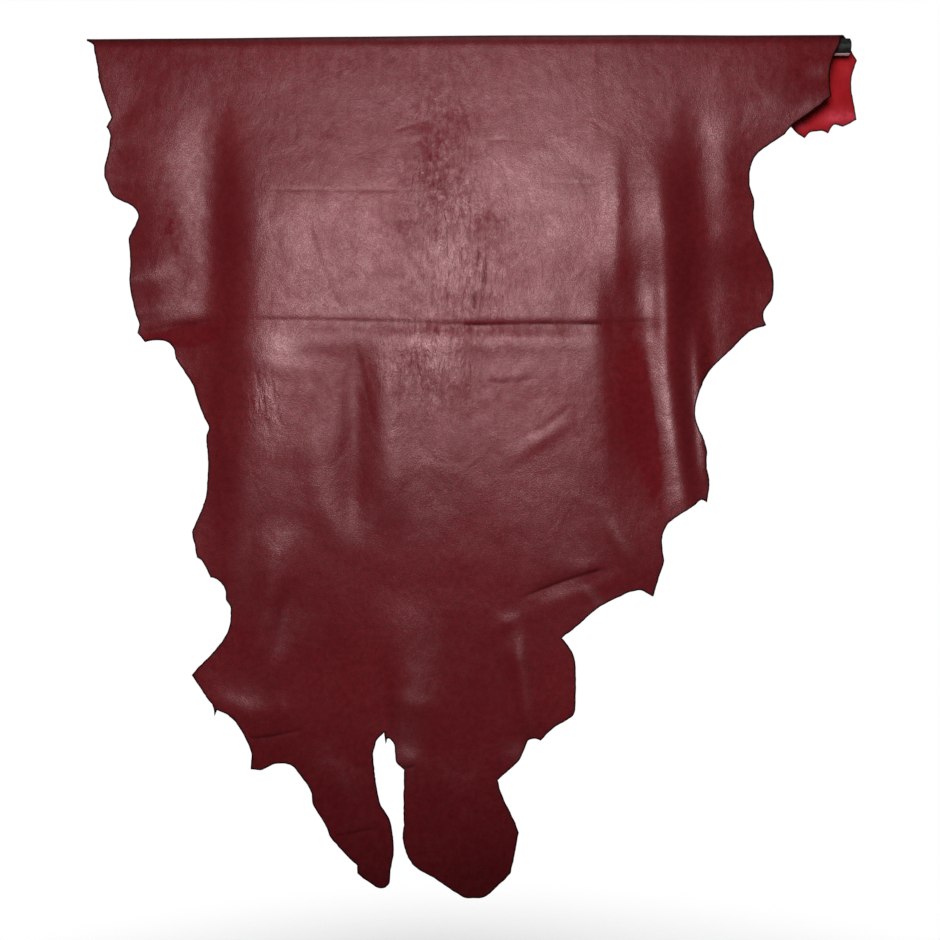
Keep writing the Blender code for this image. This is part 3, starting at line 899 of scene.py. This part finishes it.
def grain_leather():
    """The dyed outer side: burgundy, half glossy, pebbled, with painted shade in its creases, along the
    crown and towards the foot, and darker at the cut.
    """
    n = Nodes("burgundy_grain_leather")
    place = n.sheet_place()
    wrinkled = n.value("wrinkles")
    clouds = n.between(n.noise(place, 7.0, 3.0), 0.35, 0.68)
    mottle = n.between(n.noise(place, 140.0, 5.0, 0.7), 0.3, 0.7)
    colour = n.mix(clouds, (0.082, 0.0054, 0.0076), (0.098, 0.0071, 0.0096))
    colour = n.mix(n.math("MULTIPLY", mottle, 0.7), colour, (0.056, 0.0036, 0.0048))
    # Painted shade: the colour is pulled darker in the crease valleys, where shade falls; the same mask
    # dulls their shine.
    valley = n.between(n.math("MULTIPLY", n.value("crease"), -1.0), 0.05, 0.8)
    colour = n.mix(n.math("MULTIPLY", valley, 0.7), colour, (0.02, 0.003, 0.004))
    # Painted shade: the colour is pulled towards near black along the crown and towards the foot.
    colour = n.mix(n.value("painted_shade"), (0.004, 0.0006, 0.0008), colour)
    rim = n.between(n.value("edge"), 0.1, 0.7)
    colour = n.mix(rim, colour, (0.006, 0.002, 0.002))
    n.link(colour, n.shader.inputs["Base Color"])
    worn = n.between(n.noise(n.sheet_place(1.3, 0.9), 70.0, 6.0, 0.7), 0.36, 0.64, -0.5, 0.4)
    worn = n.math("MULTIPLY", worn, n.math("MULTIPLY_ADD", wrinkled, 0.6, 0.3))
    pores = n.noise(place, 700.0, 3.0, 0.6)
    pored = n.between(pores, 0.35, 0.65, 0.64, 1.36)
    shine = n.math("MULTIPLY", n.math("ADD", n.value("shine"), worn), pored)
    matt = n.math("MAXIMUM", n.math("MULTIPLY", valley, 0.9), rim)
    shine = n.math("MULTIPLY", n.math("MAXIMUM", shine, 0.03), n.math("SUBTRACT", 1.0, matt))
    n.link(n.math("MULTIPLY", shine, FULL_SHINE), n.shader.inputs["Specular IOR Level"])
    n.shader.inputs["Specular Tint"].default_value = (1.0, 0.66, 0.7, 1.0)
    gloss = n.between(n.noise(place, 26.0, 4.0, 0.6), 0.3, 0.7, 0.36, 0.43)
    n.link(n.math("ADD", gloss, n.math("MULTIPLY", rim, 0.3)), n.shader.inputs["Roughness"])
    pebbles = n.between(n.cells(place, 520.0), 0.0, 0.3)
    buckles = n.noise(n.sheet_place(1.15, 0.85), 26.0, 6.0, 0.5, 0.3)
    streaks = n.noise(n.sheet_place(2.2, 0.6), 80.0, 4.0, 0.55, 0.8)
    normal = n.bump(pebbles, 0.00012, 0.6)
    normal = n.bump(buckles, 0.0015, 1.0, normal)
    normal = n.bump(n.math("MULTIPLY", streaks, wrinkled), 0.0018, 0.65, normal)
    n.link(normal, n.shader.inputs["Normal"])
    return n.material


def flesh_leather():
    """The inner side: bright red suede with a short nap and pale painted highlights in patches."""
    n = Nodes("red_flesh_side")
    place = n.sheet_place()
    clouds = n.between(n.noise(place, 16.0, 4.0, 0.6), 0.35, 0.68)
    colour = n.mix(clouds, (0.21, 0.0028, 0.005), (0.29, 0.006, 0.0095))
    strokes = n.between(n.noise(n.sheet_place(6.0, 1.0), 60.0, 5.0, 0.65), 0.35, 0.75)
    colour = n.mix(n.math("MULTIPLY", strokes, 0.4), colour, (0.14, 0.002, 0.004))
    # Painted highlight: pale pink patches on the flesh side, broken up by noise.
    painted_highlight = n.between(n.noise(place, 60.0, 4.0, 0.6), 0.35, 0.65, 0.3, 1.0)
    colour = n.mix(n.math("MULTIPLY", painted_highlight, n.value("painted_highlight")), colour, (0.5, 0.05, 0.085))
    rim = n.between(n.value("edge"), 0.1, 0.8)
    colour = n.mix(rim, colour, (0.02, 0.002, 0.003))
    n.link(colour, n.shader.inputs["Base Color"])
    n.shader.inputs["Roughness"].default_value = 0.82
    n.shader.inputs["Sheen Weight"].default_value = 0.05
    n.shader.inputs["Specular IOR Level"].default_value = 0.12
    n.shader.inputs["Sheen Roughness"].default_value = 0.45
    nap = n.noise(place, 500.0, 4.0, 0.7)
    n.link(n.bump(nap, 0.0008, 0.6), n.shader.inputs["Normal"])
    return n.material


def cut_edge():
    """The raw cut through the leather: dark dyed fibres."""
    n = Nodes("dark_cut_edge")
    fibres = n.noise(n.sheet_place(), 900.0, 4.0, 0.7)
    n.link(n.mix(fibres, (0.012, 0.004, 0.004), (0.05, 0.008, 0.01)), n.shader.inputs["Base Color"])
    n.shader.inputs["Roughness"].default_value = 0.85
    return n.material


def rail_paint():
    """Black paint on steel, faintly rippled and dusty, with a pale strip painted along the underside as a
    reflection.
    """
    n = Nodes("black_rail_paint")
    place = n.add("ShaderNodeTexCoord").outputs["Object"]
    dust = n.between(n.noise(place, 90.0, 5.0, 0.7), 0.5, 0.8)
    paint = n.mix(n.math("MULTIPLY", dust, 0.35), (0.008, 0.007, 0.007), (0.035, 0.033, 0.03))
    height = n.add("ShaderNodeSeparateXYZ")
    n.link(place, height.inputs["Vector"])
    # Painted reflection: a pale strip along the rail's underside.
    worn = n.between(height.outputs["Z"], -REFLECTION_STRIP_HEIGHT, -REFLECTION_STRIP_HEIGHT + REFLECTION_STRIP_FADE, 1.0, 0.0)
    n.link(n.mix(worn, paint, (0.6, 0.42, 0.42)), n.shader.inputs["Base Color"])
    n.link(n.between(n.noise(place, 140.0, 4.0), 0.3, 0.7, 0.22, 0.4), n.shader.inputs["Roughness"])
    n.link(n.bump(n.noise(place, 260.0, 2.0), 0.0002, 0.4), n.shader.inputs["Normal"])
    return n.material


def dress_rail(material):
    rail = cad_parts["rail"]
    for slot in rail.material_slots:
        slot.material = material


def floor(height, radius):
    """A plain pale disc that fades out at its rim."""
    n = Nodes("pale_floor")
    n.shader.inputs["Base Color"].default_value = (0.86, 0.86, 0.86, 1.0)
    n.shader.inputs["Roughness"].default_value = 0.9
    place = n.add("ShaderNodeTexCoord").outputs["Object"]
    away = n.add("ShaderNodeVectorMath", operation="LENGTH")
    n.link(place, away.inputs[0])
    n.link(n.between(away.outputs["Value"], radius * 0.45, radius, 1.0, 0.0), n.shader.inputs["Alpha"])
    mesh = bpy.data.meshes.new("floor")
    sides = 64
    turns = [2 * math.pi * side / sides for side in range(sides)]
    mesh.from_pydata([(radius * math.cos(t), radius * math.sin(t), 0) for t in turns], [], [range(sides)])
    mesh.materials.append(n.material)
    disc = bpy.data.objects.new("floor", mesh)
    disc.location = (SIGHT_ACROSS, 0.0, height)
    disc.visible_glossy = False
    bpy.context.scene.collection.objects.link(disc)
    return disc


def area_light(name, place, target, width, height, power):
    data = bpy.data.lights.new(name, "AREA")
    data.shape = "RECTANGLE"
    data.size = width
    data.size_y = height
    data.energy = power
    lamp = bpy.data.objects.new(name, data)
    lamp.location = place
    lamp.rotation_mode = "QUATERNION"
    lamp.rotation_quaternion = (Vector(target) - Vector(place)).to_track_quat("-Z", "Y")
    lamp.visible_camera = False
    bpy.context.scene.collection.objects.link(lamp)
    return lamp


def pale_world(fill):
    """A white background to the camera, and a dim even fill to everything else."""
    world = bpy.data.worlds.new("pale_world")
    bpy.context.scene.world = world
    world.use_nodes = True
    tree = world.node_tree
    backdrop = tree.nodes["Background"]
    backdrop.inputs["Color"].default_value = (1.0, 1.0, 1.0, 1.0)
    seen = tree.nodes.new("ShaderNodeLightPath").outputs["Is Camera Ray"]
    strength = tree.nodes.new("ShaderNodeMapRange")
    strength.inputs["To Min"].default_value = fill
    strength.inputs["To Max"].default_value = 1.0
    tree.links.new(seen, strength.inputs["Value"])
    tree.links.new(strength.outputs["Result"], backdrop.inputs["Strength"])


def camera():
    data = bpy.data.cameras.new("camera")
    data.sensor_width = CAMERA_SENSOR
    data.lens = CAMERA_SENSOR * SIGHT_DISTANCE / PLANE_SEEN_ACROSS
    made = bpy.data.objects.new("camera", data)
    made.location = (SIGHT_ACROSS, -SIGHT_DISTANCE, -SIGHT_BELOW)
    made.rotation_euler = (math.pi / 2, CAMERA_LEAN, 0.0)
    bpy.context.scene.collection.objects.link(made)
    bpy.context.scene.camera = made


bpy.context.scene.view_settings.view_transform = "Standard"

hide = leather_sheet(grain_leather(), flesh_leather(), cut_edge())
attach(hide, "root")
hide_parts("hide")
dress_rail(rail_paint())

camera()
pale_world(WORLD_FILL)
for light in LIGHTS:
    area_light(*light)
floor(FLOOR_HEIGHT, FLOOR_RADIUS)
